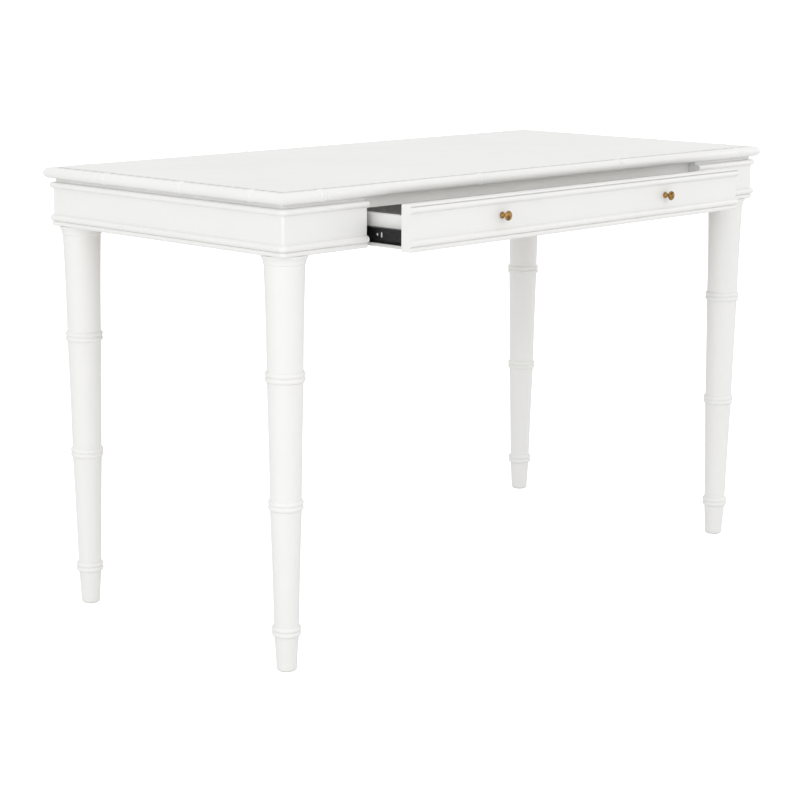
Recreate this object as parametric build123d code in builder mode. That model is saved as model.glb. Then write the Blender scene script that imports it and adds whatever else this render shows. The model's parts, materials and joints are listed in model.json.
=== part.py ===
"""Writing desk with one wide drawer, turned bamboo-style legs and beaded aprons.

Millimetres. +X runs along the desk, -Y is the front (drawer side), +Z is up. The origin lies on
the floor, under the middle of the whole model with its drawer ajar. The drawer is modelled ajar
by DRAWER_OPEN; everything fixed to the desk is placed from the middle of the tabletop (CENTRE_Y).
"""
from build123d import *
import os

os.makedirs("parts", exist_ok=True)

# ---------------------------------------------------------------- overall size
WIDTH = 1220.0             # tabletop over its edge mouldings, along X
DEPTH = 585.0              # tabletop over its edge mouldings, along Y
HEIGHT = 750.0             # floor to tabletop
DRAWER_OPEN = 88.0         # how far the drawer stands out of the desk as modelled

# ---------------------------------------------------------------- heights above the floor
PANEL_THICK = 19.0         # tabletop panel
MOULD_THICK = 18.0         # half-round moulding round the panel
MOULD_DROP = 1.0           # the moulding lies this far under the panel's surface
APRON_TOP = 725.0          # top of the upper bead, with a shadow gap above it
APRON_BOTTOM = 652.5       # lower edge of the aprons, where the legs start
TOP_BEAD = 10.0            # upper bead height
LOW_BEAD = 11.0            # lower bead height
FOOT_FILLET = 8.0          # small rounded fillet under the lower bead

# ---------------------------------------------------------------- insets from the tabletop's edge
BEAD_INSET = 4.5
FILLET_INSET = 7.5
FRIEZE_INSET = 10.5        # flat face of the apron
SPACER_INSET = 15.0        # recessed strip between apron and tabletop
APRON_THICK = 18.0
CORNER_R = 5.0             # rounded vertical corners of the aprons

# ---------------------------------------------------------------- bamboo rings
RING_PITCH = 356.7         # spacing of the rings along the front and back mouldings
RING_SHIFT = 10.7          # those rings lie this far toward +X from an even layout
SIDE_RINGS = (-215.0, -52.0, 135.0)   # ring places along the end mouldings, from the middle
RING_PROUD = 0.9
RING_BEAD = 5.6            # width of one bead of a double ring

# ---------------------------------------------------------------- legs
LEG_INSET = 44.0           # leg axis from the tabletop's edge
LEG_RINGS = ((64.5, 19.3, 23.1, 21.9), (266.0, 24.6, 27.6, 26.8), (466.4, 28.1, 31.3, 29.95))
LEG_RING_HALF = 8.7        # half height of a double ring
LEG_FOOT_R = 15.9
LEG_COLLAR_R = 36.2
GLIDE_THICK = 1.5
GLIDE_R = 13.0
GLIDE_STEM_R = 2.4         # stem of a foot glide, driven up into the leg
GLIDE_STEM = 13.0
FIT = 0.1                  # clearance round stems, shanks and balls

# ---------------------------------------------------------------- drawer
OPENING_WIDTH = 850.0
FRONT_GAP = 2.5            # gap each side of the closed drawer front
FRONT_THICK = 17.0         # drawer front at its flat face
SIDE_TOP = 705.0
SIDE_BOTTOM = 654.0
BOARD = 12.0               # drawer sides, inner front and back
BOTTOM_THICK = 5.0
BOTTOM_Z = 660.0
GROOVE = 6.0
BOX_LENGTH = 405.0         # drawer box behind the front
KNOB_X = 212.0
KNOB_Z = 693.0
KNOB_REACH = 17.6
FRONT_EDGE_R = 1.2         # softened ends of the drawer front

# ---------------------------------------------------------------- drawer slides
SLIDE_LENGTH = 400.0
SLIDE_THICK = 12.7
SLIDE_Z = 673.0
CHANNEL_TALL = 35.0        # member fixed to the desk
RUNNER_TALL = 24.0         # member fixed to the drawer
SHEET = 1.2
RETAINER_LENGTH = 100.0
RETAINER_SHEET = 0.6
BALL_R = 1.4
BALL_COUNT = 8
CHANNEL_HOLES = (30.0, 128.0, 224.0, 352.0)    # along the slide from its front end
RUNNER_SCREW_HOLES = (120.0, 200.0, 370.0)
RUNNER_SLOTS = (50.0, 160.0, 300.0)
RUNNER_PIN_HOLE = 59.0
RUNNER_PIN_R = 2.2
SLOT_TALL = 8.6            # slots in the drawer member
SLOT_WIDE = 3.8
MEMBER_HOLE_R = 2.3        # screw holes in both members
CHANNEL_TIP = 10.0         # how far the desk member's arms reach from the wall
RUNNER_TIP = 3.6           # where the drawer member's arms end, from the wall
RETAINER_WEB = 2.2
RETAINER_TIP = 9.6
PAN_SHANK_R = 1.8
PAN_HEAD_R = 3.4
PAN_HEAD_TALL = 0.6
PAN_SCREW_DEEP = 14.0

# ---------------------------------------------------------------- inner frame and fastenings
RAIL_BOTTOM = 711.0        # rail over the drawer, seen above the open drawer
RAIL_DEEP = 30.0
CLEAT = 20.0               # square battens that hold the top
RUNNER_WALL_THICK = 18.0
RUNNER_WALL_TOP = 708.0
SCREW_R = 2.0
SCREW_HEAD_R = 4.0
SCREW_HEAD_TALL = 2.4
TOP_SCREW_REACH = 12.0     # how far the screws go into the tabletop
RAIL_SCREW_X = (-480.0, 0.0, 480.0)
FRONT_SCREW = 24.0
FRONT_SCREW_X = 340.0
FRONT_SCREW_Z = (674.0, 696.0)
END_SCREW_OFFSET = 120.0   # end cleat screws from the middle of the tabletop
KNOB_SCREW_R = 2.0
KNOB_SCREW_GRIP = 7.0      # how far a knob screw reaches into its knob
KNOB_HEAD_R = 4.2
KNOB_HEAD_TALL = 2.2
RECESS_LONG = 3.8          # cross recess of the screws
RECESS_WIDE = 0.9
RECESS_DEEP = 1.0
BLOCK = 62.0               # corner blocks between the aprons
BLOCK_TALL = 46.0
BLOCK_SCREW = 72.0
BLOCK_SCREW_EDGE = 12.0    # from the block's free corner
BLOCK_SCREW_APART = 16.0   # the two screws of a block cross at these heights
BOLT_R = 4.0               # hanger bolts, one in each leg
BOLT_IN_LEG = 45.0
BOLT_OVER_BLOCK = 12.0
WASHER_R = 9.0
WASHER_THICK = 1.6
NUT_ACROSS = 13.0
NUT_TALL = 6.5

# ---------------------------------------------------------------- places worked out from the above
KNOB_TIP = DEPTH / 2 - FRIEZE_INSET + DRAWER_OPEN + KNOB_REACH
BACK_TIP = DEPTH / 2 + RING_PROUD
CENTRE_Y = (KNOB_TIP - BACK_TIP) / 2
FRONT_Y = CENTRE_Y - DEPTH / 2
BACK_Y = CENTRE_Y + DEPTH / 2
PANEL_BOTTOM = HEIGHT - PANEL_THICK
MOULD_R = MOULD_THICK / 2
MOULD_TOP = HEIGHT - MOULD_DROP
MOULD_Z = MOULD_TOP - MOULD_R
FRIEZE_TOP = APRON_TOP - TOP_BEAD
FRIEZE_BOTTOM = APRON_BOTTOM + FOOT_FILLET + LOW_BEAD
CORNER_INSET = FRIEZE_INSET + CORNER_R
INNER_INSET = FRIEZE_INSET + APRON_THICK
INNER_X = WIDTH / 2 - INNER_INSET
INNER_FRONT = FRONT_Y + INNER_INSET
INNER_BACK = BACK_Y - INNER_INSET
OPENING_X = OPENING_WIDTH / 2
LEG_X = WIDTH / 2 - LEG_INSET
LEG_Y = (FRONT_Y + LEG_INSET, BACK_Y - LEG_INSET)
FACE_Y = FRONT_Y + FRIEZE_INSET - DRAWER_OPEN
FRONT_BACK_Y = FACE_Y + FRONT_THICK
RAIL_FRONT_Y = INNER_FRONT + 0.5
WALL_X = OPENING_X - 1.0
BOX_X = WALL_X - SLIDE_THICK
BOX_BACK_Y = FRONT_BACK_Y + BOX_LENGTH
CHANNEL_FRONT_Y = INNER_FRONT + 1.0
RUNNER_FRONT_Y = CHANNEL_FRONT_Y - DRAWER_OPEN
FACE_X = OPENING_X - FRONT_GAP
KNOB_SPOTS = (-KNOB_X, KNOB_X)
RAIL_MID_Y = RAIL_FRONT_Y + RAIL_DEEP / 2
RAIL_TALL = PANEL_BOTTOM - RAIL_BOTTOM
CLEAT_BOTTOM = PANEL_BOTTOM - CLEAT
CLEAT_FRONT = RAIL_FRONT_Y + RAIL_DEEP
CLEAT_MID_X = INNER_X - CLEAT / 2
END_SCREW_Y = (CENTRE_Y - END_SCREW_OFFSET, CENTRE_Y + END_SCREW_OFFSET)
BLOCK_SCREW_Z = APRON_BOTTOM + BLOCK_TALL / 2
BOLT_TOP = APRON_BOTTOM + BLOCK_TALL + BOLT_OVER_BLOCK
UP = Vector(0, 0, 1)
OUTWARD = {"front": Vector(0, -1, 0), "back": Vector(0, 1, 0),
           "left": Vector(-1, 0, 0), "right": Vector(1, 0, 0)}


def save(builder, name):
    """Label a finished sub-part and write it."""
    builder.part.label = name
    export_step(builder.part, f"parts/{name}.step")


# ================================================================ runs round the desk
def side_plane(side, inset):
    """Plane across one side's run: x outward from a line `inset` inside the edge, y up.

    The plane stands at the start of the run and its normal points along it."""
    outward = OUTWARD[side]
    along = outward.cross(UP)
    half = Vector(WIDTH / 2 - inset, DEPTH / 2 - inset, 0)
    offset = outward - along
    start = Vector(offset.X * half.X, CENTRE_Y + offset.Y * half.Y, 0)
    return Plane(origin=start, x_dir=outward, z_dir=along)


def side_length(side, inset):
    """Length of one side's line that lies `inset` inside the tabletop's edge."""
    full = WIDTH if side in ("front", "back") else DEPTH
    return full - 2 * inset


def mitred_run(profile, side, inset, depth):
    """Extrude a profile along one side and cut both ends at 45 degrees over `depth`."""
    plane = side_plane(side, inset)
    length = side_length(side, inset)
    floor = Plane(origin=plane.origin, x_dir=plane.z_dir, z_dir=UP)
    inward = floor.to_local_coords(plane.origin - plane.x_dir * depth).Y
    with BuildPart() as run:
        with BuildSketch(plane):
            add(profile)
        extrude(amount=length)
        with BuildSketch(floor):
            with BuildLine():
                Polyline((0, 0), (0, inward), (depth, inward), close=True)
            make_face()
            with BuildLine():
                Polyline((length, 0), (length, inward), (length - depth, inward), close=True)
            make_face()
        extrude(amount=HEIGHT + MOULD_THICK, mode=Mode.SUBTRACT)
    return run.part


def rounded_corners(profile, side, inset):
    """The half of each rounded corner that belongs to one side's run."""
    plane = side_plane(side, inset)
    length = side_length(side, inset)
    far = plane.offset(length)
    with BuildSketch() as outer:
        add(profile)
        Rectangle(WIDTH, 4 * HEIGHT, align=(Align.MAX, Align.CENTER), mode=Mode.SUBTRACT)
    with BuildPart() as corners:
        with BuildSketch(plane):
            add(outer.sketch)
        revolve(axis=Axis(plane.origin, UP), revolution_arc=45)
        with BuildSketch(far):
            add(outer.sketch)
        revolve(axis=Axis(far.origin, -UP), revolution_arc=45)
    return corners.part


# ================================================================ wood screws
def screw_body(head, direction, length, play):
    """Countersunk head at `head` and a shank along `direction`; `play` is taken off the radii."""
    seat = Plane(origin=head, z_dir=direction)
    with BuildPart() as body:
        with BuildSketch(seat):
            Circle(SCREW_HEAD_R - play)
        with BuildSketch(seat.offset(SCREW_HEAD_TALL)):
            Circle(SCREW_R - play)
        loft()
        with BuildSketch(seat.offset(SCREW_HEAD_TALL)):
            Circle(SCREW_R - play)
        extrude(amount=length - SCREW_HEAD_TALL - play)
    return body.part


def wood_screw(head, direction, length):
    """One countersunk screw with a cross recess."""
    with BuildPart() as screw:
        add(screw_body(head, direction, length, FIT))
        with BuildSketch(Plane(origin=head, z_dir=direction)):
            Rectangle(RECESS_LONG, RECESS_WIDE)
            Rectangle(RECESS_WIDE, RECESS_LONG)
        extrude(amount=RECESS_DEEP, mode=Mode.SUBTRACT)
    return screw.part


def screw_bores(screws):
    """The holes that a list of screws runs in, as one tool to subtract."""
    with BuildPart() as bores:
        for screw in screws:
            add(screw_body(*screw, play=0))
    return bores.part


TOP_SCREWS = [(Vector(x, RAIL_MID_Y, RAIL_BOTTOM), UP, RAIL_TALL + TOP_SCREW_REACH)
              for x in RAIL_SCREW_X]
TOP_SCREWS += [(Vector(x, INNER_BACK - CLEAT / 2, CLEAT_BOTTOM), UP, CLEAT + TOP_SCREW_REACH)
               for x in RAIL_SCREW_X]
TOP_SCREWS += [(Vector(x, y, CLEAT_BOTTOM), UP, CLEAT + TOP_SCREW_REACH)
               for x in (-CLEAT_MID_X, CLEAT_MID_X) for y in END_SCREW_Y]
CORNERS = [("front_left", -1, 0), ("front_right", 1, 0), ("back_left", -1, 1), ("back_right", 1, 1)]
BLOCK_SCREWS = []
for corner, direction, row in CORNERS:
    wall_y = (INNER_FRONT, INNER_BACK)[row]
    way = (1, -1)[row]
    free_x = direction * (INNER_X - BLOCK)
    free_y = wall_y + way * BLOCK
    BLOCK_SCREWS.append((Vector(free_x, free_y - way * BLOCK_SCREW_EDGE,
                                BLOCK_SCREW_Z + BLOCK_SCREW_APART / 2),
                         Vector(direction, 0, 0), BLOCK_SCREW))
    BLOCK_SCREWS.append((Vector(free_x + direction * BLOCK_SCREW_EDGE, free_y,
                                BLOCK_SCREW_Z - BLOCK_SCREW_APART / 2),
                         Vector(0, -way, 0), BLOCK_SCREW))
FRONT_SCREWS = [(Vector(x, FRONT_BACK_Y + BOARD, z), Vector(0, -1, 0), FRONT_SCREW)
                for x in (-FRONT_SCREW_X, FRONT_SCREW_X) for z in FRONT_SCREW_Z]


# ================================================================ tabletop
def moulding_profile():
    """Half-round edge with a small hollow where it meets the panel; x=0 is the outer edge."""
    with BuildSketch() as outline:
        with BuildLine():
            ThreePointArc((-MOULD_R, MOULD_TOP), (0, MOULD_Z), (-MOULD_R, MOULD_TOP - MOULD_THICK))
            Line((-MOULD_R, MOULD_TOP - MOULD_THICK), (-MOULD_THICK, MOULD_TOP - MOULD_THICK))
            Line((-MOULD_THICK, MOULD_TOP - MOULD_THICK), (-MOULD_THICK, MOULD_TOP - 1))
            Line((-MOULD_THICK, MOULD_TOP - 1), (-MOULD_THICK + 1.5, MOULD_TOP))
            Line((-MOULD_THICK + 1.5, MOULD_TOP), (-MOULD_R, MOULD_TOP))
        make_face()
    return outline.sketch


def edge_ring(side, place):
    """Double bead round the half-round edge, `place` along the side from its middle."""
    run = side_plane(side, MOULD_R)
    along = run.z_dir
    centre = run.origin + along * (side_length(side, MOULD_R) / 2 + place) + UP * MOULD_Z
    root = MOULD_R - 2
    with BuildPart() as ring:
        with BuildSketch(Plane(origin=centre, x_dir=along, z_dir=along.cross(UP))):
            for way in (-1, 1):
                with BuildLine():
                    Line((way * 0.1, root), (way * 0.1, MOULD_R + 0.2))
                    ThreePointArc((way * 0.1, MOULD_R + 0.2),
                                  (way * RING_BEAD / 2, MOULD_R + RING_PROUD),
                                  (way * RING_BEAD, MOULD_R - 0.1))
                    Line((way * RING_BEAD, MOULD_R - 0.1), (way * RING_BEAD, root))
                    Line((way * RING_BEAD, root), (way * 0.1, root))
                make_face()
        revolve(axis=Axis(centre, -along), revolution_arc=180)
    return ring.part


def ring_places(side):
    """Ring places along one side, measured from its middle in the run's own direction."""
    if side in ("front", "back"):
        toward_right = -1 if side == "front" else 1
        return [toward_right * (step * RING_PITCH + RING_SHIFT) for step in (-1.5, -0.5, 0.5, 1.5)]
    toward_back = 1 if side == "left" else -1
    return [toward_back * place for place in SIDE_RINGS]


with BuildPart() as top_panel:
    with BuildSketch(Plane.XY.offset(PANEL_BOTTOM)):
        with Locations((0, CENTRE_Y)):
            Rectangle(WIDTH - 2 * MOULD_THICK, DEPTH - 2 * MOULD_THICK)
    extrude(amount=PANEL_THICK)
    chamfer(top_panel.edges().group_by(Axis.Z)[-1], 0.6)
    add(screw_bores(TOP_SCREWS), mode=Mode.SUBTRACT)
save(top_panel, "top_panel")

for side in OUTWARD:
    with BuildPart() as edge_moulding:
        add(mitred_run(moulding_profile(), side, 0, MOULD_THICK))
        for place in ring_places(side):
            add(edge_ring(side, place))
    save(edge_moulding, f"edge_moulding_{side}")


# ================================================================ aprons
def apron_profile(thick):
    """Frieze with a bead above, a bead and a small fillet below; x=0 is the corner axis."""
    face = CORNER_R
    bead = CORNER_INSET - BEAD_INSET
    fillet_out = CORNER_INSET - FILLET_INSET
    back = face - thick
    bead_low = APRON_BOTTOM + FOOT_FILLET
    top_r = TOP_BEAD / 2
    low_r = LOW_BEAD / 2
    with BuildSketch() as outline:
        with BuildLine():
            Line((back, APRON_BOTTOM), (fillet_out - 3, APRON_BOTTOM))
            ThreePointArc((fillet_out - 3, APRON_BOTTOM),
                          (fillet_out, APRON_BOTTOM + FOOT_FILLET / 2),
                          (fillet_out - 1.5, bead_low))
            Line((fillet_out - 1.5, bead_low), (bead - low_r, bead_low))
            ThreePointArc((bead - low_r, bead_low), (bead, bead_low + low_r),
                          (bead - low_r, FRIEZE_BOTTOM))
            Line((bead - low_r, FRIEZE_BOTTOM), (face, FRIEZE_BOTTOM))
            Line((face, FRIEZE_BOTTOM), (face, FRIEZE_TOP))
            Line((face, FRIEZE_TOP), (bead - top_r, FRIEZE_TOP))
            ThreePointArc((bead - top_r, FRIEZE_TOP), (bead, FRIEZE_TOP + top_r),
                          (bead - top_r, APRON_TOP))
            Line((bead - top_r, APRON_TOP), (back, APRON_TOP))
            Line((back, APRON_TOP), (back, APRON_BOTTOM))
        make_face()
    return outline.sketch


def apron_run(side):
    """One apron with its halves of the two rounded corners."""
    profile = apron_profile(APRON_THICK)
    with BuildPart() as run:
        add(mitred_run(profile, side, CORNER_INSET, APRON_THICK - CORNER_R))
        add(rounded_corners(profile, side, CORNER_INSET))
        add(screw_bores(BLOCK_SCREWS), mode=Mode.SUBTRACT)
    return run.part


for side in ("back", "left", "right"):
    with BuildPart() as apron:
        add(apron_run(side))
    save(apron, f"apron_{side}")

front_run = apron_run("front")
for side, direction in (("left", -1), ("right", 1)):
    with BuildPart() as apron_front:
        add(front_run)
        with BuildSketch(Plane.XY):
            with Locations((direction * (OPENING_X - WIDTH / 2), FRONT_Y)):
                Rectangle(WIDTH, 4 * INNER_INSET)
        extrude(amount=HEIGHT, mode=Mode.SUBTRACT)
    save(apron_front, f"apron_front_{side}")


# ================================================================ recessed strips over the aprons
def spacer_profile():
    with BuildSketch() as outline:
        with Locations((0, APRON_TOP)):
            Rectangle(INNER_INSET - SPACER_INSET, MOULD_TOP - MOULD_THICK - APRON_TOP,
                      align=(Align.MAX, Align.MIN))
    return outline.sketch


for side in ("back", "left", "right"):
    with BuildPart() as spacer:
        add(mitred_run(spacer_profile(), side, SPACER_INSET, INNER_INSET - SPACER_INSET))
    save(spacer, f"spacer_strip_{side}")

front_spacer = mitred_run(spacer_profile(), "front", SPACER_INSET, INNER_INSET - SPACER_INSET)
for side, direction in (("left", -1), ("right", 1)):
    with BuildPart() as spacer_front:
        add(front_spacer)
        with BuildSketch(Plane.XY):
            with Locations((direction * (OPENING_X - WIDTH / 2), FRONT_Y)):
                Rectangle(WIDTH, 4 * INNER_INSET)
        extrude(amount=HEIGHT, mode=Mode.SUBTRACT)
    save(spacer_front, f"spacer_strip_front_{side}")

# ================================================================ inner frame
with BuildPart() as front_rail:
    with BuildSketch(Plane.XY.offset(RAIL_BOTTOM)):
        with Locations((0, RAIL_FRONT_Y)):
            Rectangle(2 * INNER_X, RAIL_DEEP, align=(Align.CENTER, Align.MIN))
    extrude(amount=RAIL_TALL)
    add(screw_bores(TOP_SCREWS), mode=Mode.SUBTRACT)
save(front_rail, "front_rail")

with BuildPart() as back_cleat:
    with BuildSketch(Plane.XY.offset(CLEAT_BOTTOM)):
        with Locations((0, INNER_BACK)):
            Rectangle(2 * (INNER_X - CLEAT), CLEAT, align=(Align.CENTER, Align.MAX))
    extrude(amount=CLEAT)
    add(screw_bores(TOP_SCREWS), mode=Mode.SUBTRACT)
save(back_cleat, "back_cleat")

for side, direction in (("left", -1), ("right", 1)):
    with BuildPart() as end_cleat:
        with BuildSketch(Plane.XY.offset(CLEAT_BOTTOM)):
            with Locations((direction * CLEAT_MID_X, CLEAT_FRONT)):
                Rectangle(CLEAT, INNER_BACK - CLEAT_FRONT, align=(Align.CENTER, Align.MIN))
        extrude(amount=CLEAT)
        add(screw_bores(TOP_SCREWS), mode=Mode.SUBTRACT)
    save(end_cleat, f"end_cleat_{side}")

with BuildPart() as top_screws:
    for screw in TOP_SCREWS:
        add(wood_screw(*screw))
save(top_screws, "top_screws")

for side, direction in (("left", -1), ("right", 1)):
    with BuildPart() as runner_wall:
        with BuildSketch(Plane.XY.offset(SIDE_BOTTOM)):
            with Locations((direction * (WALL_X + RUNNER_WALL_THICK / 2), INNER_FRONT)):
                Rectangle(RUNNER_WALL_THICK, INNER_BACK - INNER_FRONT,
                          align=(Align.CENTER, Align.MIN))
        extrude(amount=RUNNER_WALL_TOP - SIDE_BOTTOM)
        with BuildSketch(Plane(origin=(0, CHANNEL_FRONT_Y, SLIDE_Z), x_dir=(0, 1, 0),
                               z_dir=(1, 0, 0))):
            with Locations([(y, 0) for y in CHANNEL_HOLES]):
                Circle(PAN_SHANK_R)
        extrude(amount=WALL_X + PAN_SCREW_DEEP, both=True, mode=Mode.SUBTRACT)
    save(runner_wall, f"runner_wall_{side}")

# ================================================================ legs and their corner joints
def corner_point(direction, row):
    return Vector(direction * LEG_X, LEG_Y[row], 0)


def leg_profile():
    """Half outline of a leg, r along x and height along y, from the foot to the collar."""
    with BuildSketch() as outline:
        with BuildLine():
            Line((0, GLIDE_THICK), (LEG_FOOT_R - 1, GLIDE_THICK))
            Line((LEG_FOOT_R - 1, GLIDE_THICK), (LEG_FOOT_R, GLIDE_THICK + 1.5))
            last = (LEG_FOOT_R, GLIDE_THICK + 1.5)
            for height, body, bead, valley in LEG_RINGS:
                start = (body, height - LEG_RING_HALF)
                middle = ((last[0] + start[0]) / 2 - 0.35, (last[1] + start[1]) / 2)
                ThreePointArc(last, middle, start)
                ThreePointArc(start, (bead, height - LEG_RING_HALF / 2), (valley, height))
                last = (body, height + LEG_RING_HALF)
                ThreePointArc((valley, height), (bead, height + LEG_RING_HALF / 2), last)
            neck = (31.6, APRON_BOTTOM - 15.0)
            middle = ((last[0] + neck[0]) / 2 - 0.6, (last[1] + neck[1]) / 2)
            ThreePointArc(last, middle, neck)
            Line(neck, (32.8, APRON_BOTTOM - 13.0))
            ThreePointArc((32.8, APRON_BOTTOM - 13.0), (33.7, APRON_BOTTOM - 7.0),
                          (LEG_COLLAR_R, APRON_BOTTOM - 3.0))
            Line((LEG_COLLAR_R, APRON_BOTTOM - 3.0), (LEG_COLLAR_R, APRON_BOTTOM))
            Line((LEG_COLLAR_R, APRON_BOTTOM), (0, APRON_BOTTOM))
            Line((0, APRON_BOTTOM), (0, GLIDE_THICK))
        make_face()
    return outline.sketch


for corner, direction, row in CORNERS:
    spot = corner_point(direction, row)
    with BuildPart() as leg:
        with BuildSketch(Plane(origin=spot, x_dir=(1, 0, 0), z_dir=(0, -1, 0))):
            add(leg_profile())
        revolve(axis=Axis(spot, UP))
        with BuildSketch(Plane(origin=spot + UP * APRON_BOTTOM, z_dir=(0, 0, -1))):
            Circle(BOLT_R)
        extrude(amount=BOLT_IN_LEG, mode=Mode.SUBTRACT)
        with BuildSketch(Plane(origin=spot)):
            Circle(GLIDE_STEM_R + FIT)
        extrude(amount=GLIDE_STEM + 1, mode=Mode.SUBTRACT)
    save(leg, f"leg_{corner}")
    with BuildPart() as corner_block:
        with BuildSketch(Plane.XY.offset(APRON_BOTTOM)):
            with Locations((direction * (INNER_X - BLOCK / 2),
                            (INNER_FRONT + BLOCK / 2, INNER_BACK - BLOCK / 2)[row])):
                Rectangle(BLOCK, BLOCK)
            with Locations((spot.X, spot.Y)):
                Circle(BOLT_R + 0.5, mode=Mode.SUBTRACT)
        extrude(amount=BLOCK_TALL)
        add(screw_bores(BLOCK_SCREWS), mode=Mode.SUBTRACT)
    save(corner_block, f"corner_block_{corner}")

with BuildPart() as block_screws:
    for screw in BLOCK_SCREWS:
        add(wood_screw(*screw))
save(block_screws, "block_screws")

with BuildPart() as hanger_bolts:
    for corner, direction, row in CORNERS:
        spot = corner_point(direction, row)
        with BuildSketch(Plane(origin=spot + UP * (APRON_BOTTOM - BOLT_IN_LEG + 2))):
            Circle(BOLT_R - FIT)
        extrude(amount=BOLT_TOP - APRON_BOTTOM + BOLT_IN_LEG - 2)
save(hanger_bolts, "hanger_bolts")

with BuildPart() as bolt_washers:
    for corner, direction, row in CORNERS:
        spot = corner_point(direction, row)
        with BuildSketch(Plane(origin=spot + UP * (APRON_BOTTOM + BLOCK_TALL))):
            Circle(WASHER_R)
            Circle(BOLT_R + 0.3, mode=Mode.SUBTRACT)
        extrude(amount=WASHER_THICK)
save(bolt_washers, "bolt_washers")

with BuildPart() as bolt_nuts:
    for corner, direction, row in CORNERS:
        spot = corner_point(direction, row)
        with BuildSketch(Plane(origin=spot + UP * (APRON_BOTTOM + BLOCK_TALL + WASHER_THICK))):
            RegularPolygon(NUT_ACROSS / 2, 6, major_radius=False)
            Circle(BOLT_R, mode=Mode.SUBTRACT)
        extrude(amount=NUT_TALL)
save(bolt_nuts, "bolt_nuts")

with BuildPart() as foot_glides:
    for corner, direction, row in CORNERS:
        spot = corner_point(direction, row)
        with BuildSketch(Plane(origin=spot)):
            Circle(GLIDE_R)
        extrude(amount=GLIDE_THICK)
        with BuildSketch(Plane(origin=spot)):
            Circle(GLIDE_STEM_R)
        extrude(amount=GLIDE_STEM)
save(foot_glides, "foot_glides")

# ================================================================ drawer
with BuildPart() as drawer_front:
    front_plane = Plane(origin=(FACE_X, FACE_Y + CORNER_R, 0), x_dir=(0, -1, 0), z_dir=(-1, 0, 0))
    with BuildSketch(front_plane):
        add(apron_profile(FRONT_THICK))
    extrude(amount=2 * FACE_X)
    with BuildSketch(Plane(origin=(0, FACE_Y, KNOB_Z), x_dir=(1, 0, 0), z_dir=(0, -1, 0))):
        with Locations([(x, 0) for x in KNOB_SPOTS]):
            Circle(KNOB_SCREW_R + 0.3)
    extrude(amount=FRONT_THICK, both=True, mode=Mode.SUBTRACT)
    corners = drawer_front.edges().filter_by(Axis.Z).group_by(Axis.Y)[0]
    fillet(corners, FRONT_EDGE_R)
    add(screw_bores(FRONT_SCREWS), mode=Mode.SUBTRACT)
save(drawer_front, "drawer_front")

with BuildPart() as box_front:
    with BuildSketch(Plane.XY.offset(SIDE_BOTTOM)):
        with Locations((0, FRONT_BACK_Y)):
            Rectangle(2 * (BOX_X - BOARD), BOARD, align=(Align.CENTER, Align.MIN))
    extrude(amount=SIDE_TOP - SIDE_BOTTOM)
    with BuildSketch(Plane.XY.offset(BOTTOM_Z)):
        with Locations((0, FRONT_BACK_Y + BOARD)):
            Rectangle(2 * BOX_X, GROOVE, align=(Align.CENTER, Align.MAX))
    extrude(amount=BOTTOM_THICK, mode=Mode.SUBTRACT)
    with BuildSketch(Plane(origin=(0, FRONT_BACK_Y, KNOB_Z), x_dir=(1, 0, 0), z_dir=(0, -1, 0))):
        with Locations([(x, 0) for x in KNOB_SPOTS]):
            Circle(KNOB_SCREW_R + 0.3)
    extrude(amount=BOARD, both=True, mode=Mode.SUBTRACT)
    add(screw_bores(FRONT_SCREWS), mode=Mode.SUBTRACT)
save(box_front, "drawer_box_front")

with BuildPart() as front_screws:
    for screw in FRONT_SCREWS:
        add(wood_screw(*screw))
save(front_screws, "front_screws")

with BuildPart() as box_back:
    with BuildSketch(Plane.XY.offset(BOTTOM_Z + BOTTOM_THICK)):
        with Locations((0, BOX_BACK_Y)):
            Rectangle(2 * (BOX_X - BOARD), BOARD, align=(Align.CENTER, Align.MAX))
    extrude(amount=SIDE_TOP - BOTTOM_Z - BOTTOM_THICK)
save(box_back, "drawer_box_back")

for side, direction in (("left", -1), ("right", 1)):
    with BuildPart() as box_side:
        with BuildSketch(Plane.XY.offset(SIDE_BOTTOM)):
            with Locations((direction * (BOX_X - BOARD / 2), FRONT_BACK_Y)):
                Rectangle(BOARD, BOX_LENGTH, align=(Align.CENTER, Align.MIN))
        extrude(amount=SIDE_TOP - SIDE_BOTTOM)
        with BuildSketch(Plane.XY.offset(BOTTOM_Z)):
            with Locations((direction * (BOX_X - BOARD + GROOVE / 2), FRONT_BACK_Y)):
                Rectangle(GROOVE, BOX_LENGTH, align=(Align.CENTER, Align.MIN))
        extrude(amount=BOTTOM_THICK, mode=Mode.SUBTRACT)
        with BuildSketch(Plane(origin=(0, RUNNER_FRONT_Y, SLIDE_Z), x_dir=(0, 1, 0),
                               z_dir=(1, 0, 0))):
            with Locations([(y, 0) for y in RUNNER_SCREW_HOLES]):
                Circle(PAN_SHANK_R)
        extrude(amount=BOX_X, both=True, mode=Mode.SUBTRACT)
    save(box_side, f"drawer_side_{side}")

with BuildPart() as drawer_bottom:
    with BuildSketch(Plane.XY.offset(BOTTOM_Z)):
        with Locations((0, FRONT_BACK_Y + BOARD - GROOVE + 0.5)):
            Rectangle(2 * (BOX_X - BOARD + GROOVE - 0.5), BOX_LENGTH - BOARD + GROOVE - 0.5,
                      align=(Align.CENTER, Align.MIN))
    extrude(amount=BOTTOM_THICK)
save(drawer_bottom, "drawer_bottom")


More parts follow.
